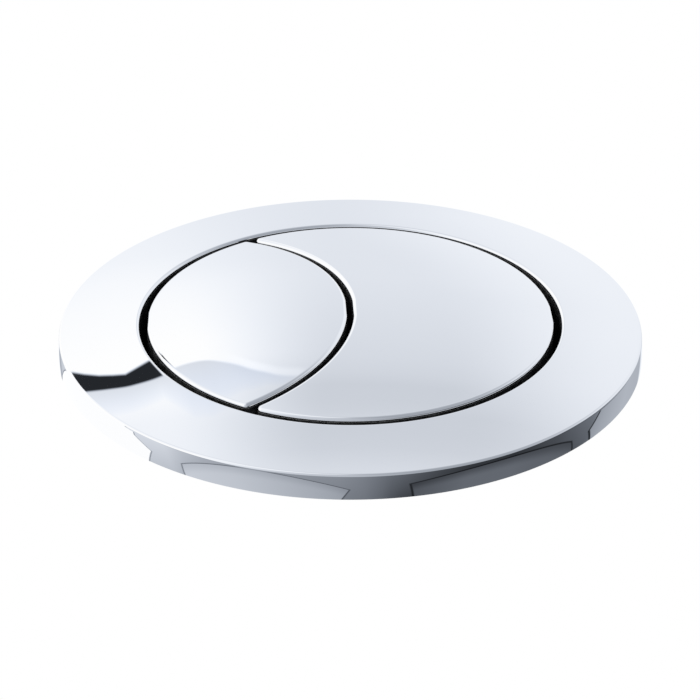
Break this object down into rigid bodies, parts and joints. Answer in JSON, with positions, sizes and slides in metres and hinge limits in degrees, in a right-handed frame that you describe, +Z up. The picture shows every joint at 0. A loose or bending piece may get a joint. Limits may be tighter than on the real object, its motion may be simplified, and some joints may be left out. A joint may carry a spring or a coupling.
{
  "type": "push button cistern actuator",
  "caption": "Round chromed flush button for a cistern lid: a domed bezel holds a lens-shaped and a crescent button, each on a sprung stem with a push rod, over a nut-clamped barrel.",
  "frame": {"origin": "on the barrel's axis, in the plane where the bezel and gasket sit on the lid's top face", "axes": "+Z up out of the lid, -X towards the small half-flush button"},
  "size_m": [0.0736, 0.0736, 0.0847],
  "materials": {
    "chrome": "polished bright chrome plate on moulded plastic",
    "black_plastic": "fine moulded grain",
    "white_plastic": "satin moulded",
    "rubber": "matte",
    "steel": "bright drawn and turned"
  },
  "bodies": {
    "housing_unit": {"bezel": "chrome", "housing": "black_plastic", "guide_plate": "black_plastic", "lid_gasket": "rubber", "half_flush_spring": "steel", "full_flush_spring": "steel"},
    "half_flush_button": {"half_flush_cap": "chrome", "half_flush_carrier": "black_plastic", "half_flush_stop_washer": "steel", "half_flush_clip": "steel", "half_flush_rod": "steel", "half_flush_rod_nut": "steel", "half_flush_rod_foot": "rubber"},
    "full_flush_button": {"full_flush_cap": "chrome", "full_flush_carrier": "black_plastic", "full_flush_stop_washer": "steel", "full_flush_clip": "steel", "full_flush_rod": "steel", "full_flush_rod_nut": "steel", "full_flush_rod_foot": "rubber"},
    "clamp_ring": {"clamp_washer": "rubber"},
    "hand_nut": {"lock_nut": "white_plastic"}
  },
  "joints": [
    {"name": "half_flush_press", "type": "slide", "parent": "housing_unit", "child": "half_flush_button", "axis": [0, 0, -1], "range_m": [0, 0.008], "stiffness_N_per_m": 500, "springref_m": -0.006, "deforming": ["half_flush_spring"]},
    {"name": "full_flush_press", "type": "slide", "parent": "housing_unit", "child": "full_flush_button", "axis": [0, 0, -1], "range_m": [0, 0.008], "stiffness_N_per_m": 500, "springref_m": -0.006, "deforming": ["full_flush_spring"]},
    {"name": "nut_travel", "type": "slide", "parent": "housing_unit", "child": "clamp_ring", "axis": [0, 0, 1], "range_m": [-0.00805, 0.00805]},
    {"name": "nut_spin", "type": "hinge", "parent": "clamp_ring", "child": "hand_nut", "pos_m": [0, 0, -0.018], "axis": [0, 0, 1], "range_deg": [-960, 960]}
  ],
  "couplings": [
    {"joint": "nut_travel", "follows": "nut_spin", "m_per_rad": 0.00047746}
  ]
}
